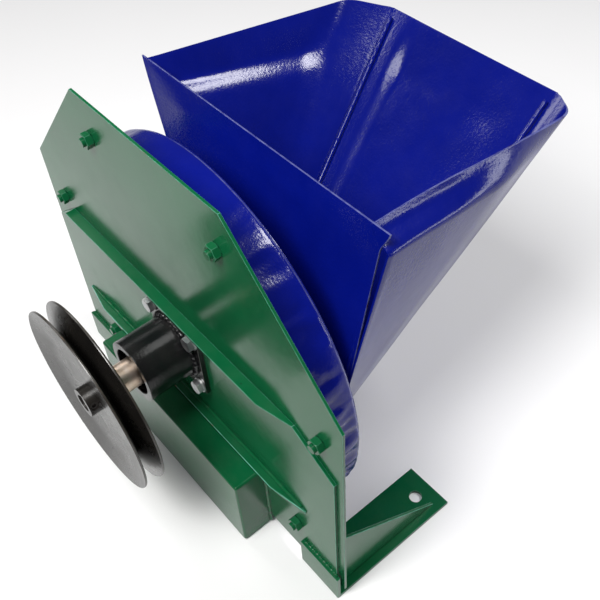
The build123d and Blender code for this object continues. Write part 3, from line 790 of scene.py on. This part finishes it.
corners = hopperCorners()
sideRight = farCorner("hopper_right_wall", 1, 0.5, 0.5)
sideLeft = farCorner("hopper_left_wall", -1, 1.2, 1)
for name, first, last, middle in (("front", "frontLeft", "frontRight", []),
                                  ("right", "frontRight", "backRight", [sideRight]),
                                  ("back", "backRight", "backLeft", []),
                                  ("left", "backLeft", "frontLeft", [sideLeft])):
    makeHopperWall(name, corners[first], corners[last], middle, wallLooks[name], hopperLook)
print("hopper walls made")

seamLook = {"radius": 2.5 * mm, "lump": 0.04, "ripple": 9, "sides": 12, "drift": 0.08, "inset": 5.4 * mm}


def makeSeam(name, ends, look):
    low, top = ends
    middle = sum((pair[1] for pair in corners.values()), Vector()) / 4
    mouth = sum((pair[0] for pair in corners.values()), Vector()) / 4
    along = (low - top).normalized()
    inward = (middle - top) - along * (middle - top).dot(along)
    lowInward = (mouth - low) - along * (mouth - low).dot(along)
    path = straightPath(top.lerp(low, 0.03) + inward.normalized() * look["inset"],
                        low + lowInward.normalized() * look["inset"], 1.0 * mm)
    weldBead("hopper_seam_" + name, path, look, "blue_paint", "frame")


for name, ends in corners.items():
    makeSeam(name, ends, seamLook)
print("hopper made")


pulleyDisc = {
    "steps": 160,
    "sheet": 2.0 * mm,
    "flat": 0.67,          # flat middle's share of the rim's radius
    "bend": 9 * mm,        # half the zone where the flare begins
}


def discLine(node, side, look):
    low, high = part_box(node)
    rim = high.x - axisX
    middle = high.y if side < 0 else low.y
    face = low.y if side < 0 else high.y
    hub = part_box("pulley_hub")[1].x - axisX
    sheet = look["sheet"]
    floor = rim * look["flat"]
    depth = abs(face - middle) - sheet
    points = []
    for r in [hub, hub * 1.5, floor * 0.5, floor * 0.75]:
        points.append((r, 0.0))
    for i in range(9):
        t = i / 8
        r = floor - look["bend"] + 2 * look["bend"] * t
        points.append((r, depth * look["bend"] / (rim - floor) * t * t))
    points.append((rim, depth))
    return points, middle, rim


def makePulleyDisc(node, side, look):
    points, middle, rim = discLine(node, side, look)
    sheet = look["sheet"]
    bm = bmesh.new()
    wearAndHighlight = bm.verts.layers.float.new("wearAndHighlight")
    lip = [(rim - 0.25 * mm, points[-1][1] - 0.02 * mm), (rim, points[-1][1] + 0.3 * sheet),
           (rim, points[-1][1] + 0.7 * sheet), (rim - 0.3 * mm, points[-1][1] + sheet)]
    outer = [(r, d + sheet) for r, d in reversed(points[:-1])]
    section = points[:-1] + lip + outer
    verts = [bm.verts.new((axisX + r, middle + side * d, axisZ)) for r, d in section]
    edges = [bm.edges.new(pair) for pair in zip(verts, verts[1:] + verts[:1])]
    bmesh.ops.spin(bm, geom=verts + edges, cent=(axisX, 0, axisZ), axis=(0, 1, 0), angle=math.tau,
                   steps=look["steps"], use_merge=True)
    bmesh.ops.remove_doubles(bm, verts=bm.verts, dist=0.005 * mm)
    bmesh.ops.recalc_face_normals(bm, faces=bm.faces)
    # the outer rim gets the pale edge colour: worn paint plus a painted edge highlight
    for vert in bm.verts:
        r = math.hypot(vert.co.x - axisX, vert.co.z - axisZ)
        vert[wearAndHighlight] = 1.0 if r > rim - 0.15 * mm else 0.0
    return finishPiece(node + "_pressed", bm, "pulley_black", "rotor", [node], 40)


makePulleyDisc("pulley_front_disc", -1, pulleyDisc)
makePulleyDisc("pulley_back_disc", 1, pulleyDisc)
print("pulley made")


welds = {
    "tube": {"radius": 2.3 * mm, "lump": 0.3, "ripple": 6, "sides": 10},
    "plate": {"radius": 1.6 * mm, "lump": 0.22, "ripple": 5, "sides": 8},
    "fillet": {"radius": 1.9 * mm, "lump": 0.05, "ripple": 14, "sides": 10},
}


def plateBead(name, start, end, kind, step=1.0 * mm):
    path = straightPath(Vector(start), Vector(end), step)
    weldBead(name, path, welds[kind], "green_paint", "frame")


def makeHousingWeld():
    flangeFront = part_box("housing_flange")[0].y
    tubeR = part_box("bearing_housing")[1].x - axisX
    ring = roundPath(tubeR + 1.0 * mm, flangeFront - 1.0 * mm, 0.9 * mm)
    weldBead("housing_weld", ring, welds["tube"], "housing_black", "frame", closed=True)


def makeFootWelds(side, doublerFront):
    low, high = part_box(side + "_foot")
    y, z = doublerFront - 0.6 * mm, high.z + 0.4 * mm
    plateBead(side + "_foot_weld", (low.x + 3 * mm, y, z), (high.x - 3 * mm, y, z), "plate")
    low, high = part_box(side + "_gusset")
    x = low.x if side == "right" else high.x
    y, z = low.y + 0.5 * mm, low.z + 0.5 * mm
    plateBead(side + "_gusset_weld", (x, low.y + 4 * mm, z), (x, high.y - 8 * mm, z), "plate")
    plateBead(side + "_gusset_plate_weld", (x, y, low.z + 4 * mm), (x, y, high.z - 6 * mm), "plate")


def makeFrontWelds(doublerFront):
    y = doublerFront - 0.5 * mm
    low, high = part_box("discharge_chute")
    z = high.z + 0.4 * mm
    plateBead("chute_weld", (low.x + 4 * mm, y, z), (high.x - 4 * mm, y, z), "fillet")
    for x, side in ((low.x - 0.4 * mm, "left"), (high.x + 0.4 * mm, "right")):
        plateBead("chute_weld_" + side, (x, y, low.z + 3 * mm), (x, y, high.z - 4 * mm), "fillet")
    low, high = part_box("lower_rib")
    for z, name in ((high.z + 0.3 * mm, "upper"), (low.z - 0.3 * mm, "lower")):
        ends = (low.x + 6 * mm, y, z), (high.x - 6 * mm, y, z)
        plateBead("rib_weld_" + name, *ends, "fillet", 1.1 * mm)


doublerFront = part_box("lower_rib")[1].y
makeHousingWeld()
for side in ("left", "right"):
    makeFootWelds(side, doublerFront)
makeFrontWelds(doublerFront)
print("welds made")


# pieces that keep their CAD shape
for node, piece in nodes.items():
    piece.data.materials.clear()
    piece.data.materials.append(finishes[slotOf[node]])


studio = {
    "floorSize": 6.0,
    "floor": (0.86, 0.86, 0.87),
    "floorMottle": 1.02,
    "world": (0.93, 0.95, 1.0),
    "worldStrength": 0.07,
    "backdrop": 0.85,     # added where the backdrop itself is seen
}
# place, what it points at, width and height, watts, colour
lights = {
    "ceiling": ((0.445, 0.92, 1.65), (0.0, 0.05, 0.2), (0.5, 0.32), 15, (1.0, 0.99, 0.98)),
    "top": ((0.15, -0.75, 2.0), (0.05, 0.05, 0.1), (0.8, 0.8), 25, (1.0, 1.0, 0.99)),
    "window": ((1.15, 1.75, 0.42), (0.1, 0.1, 0.25), (1.3, 0.3), 8, (0.97, 0.99, 1.0)),
    "front": ((0.15, -0.75, 1.25), (-0.12, -0.16, 0.0), (0.35, 0.35), 10, (1.0, 0.98, 0.95)),
    "left": ((-1.6, -0.2, 1.5), (0.0, 0.1, 0.15), (0.6, 0.6), 9, (1.0, 0.99, 0.98)),
}


def makeFloor(look):
    mesh = bpy.data.meshes.new("floor")
    bm = bmesh.new()
    bmesh.ops.create_grid(bm, x_segments=2, y_segments=2, size=look["floorSize"] / 2)
    bm.to_mesh(mesh)
    bm.free()
    floor = bpy.data.objects.new("floor", mesh)
    bpy.context.scene.collection.objects.link(floor)
    floor.location.z = cadBox[0][2] - 0.2 * mm
    material, tree, shader = newMaterial("studioFloor")
    grain = addNoise(tree, objectPlace(tree), 6, 3)
    pale = tuple(c * look["floorMottle"] for c in look["floor"])
    tree.links.new(addMix(tree, grain, look["floor"], pale), shader.inputs["Base Color"])
    shader.inputs["Roughness"].default_value = 0.9
    shader.inputs["Specular IOR Level"].default_value = 0.1
    mesh.materials.append(material)


def makeWorld(look):
    world = bpy.data.worlds.new("studio")
    world.use_nodes = True
    background = world.node_tree.nodes["Background"]
    background.inputs["Color"].default_value = (*look["world"], 1)
    ray = world.node_tree.nodes.new("ShaderNodeLightPath")
    seen = addMath(world.node_tree, "MULTIPLY", ray.outputs["Is Camera Ray"], look["backdrop"])
    strength = addMath(world.node_tree, "ADD", seen, look["worldStrength"])
    world.node_tree.links.new(strength, background.inputs["Strength"])
    bpy.context.scene.world = world


def makeLight(name, place, target, size, watts, colour):
    data = bpy.data.lights.new(name, "AREA")
    data.shape = "RECTANGLE"
    data.size, data.size_y = size
    data.energy = watts
    data.color = colour
    light = bpy.data.objects.new(name, data)
    bpy.context.scene.collection.objects.link(light)
    sight = Vector(target) - Vector(place)
    light.matrix_world = Matrix.Translation(place) @ sight.to_track_quat("-Z", "Y").to_matrix().to_4x4()


makeFloor(studio)
makeWorld(studio)
for name, values in lights.items():
    makeLight(name, *values)
bpy.context.scene.view_settings.view_transform = "Standard"
print("floor and lights placed")

bpy.context.view_layer.update()
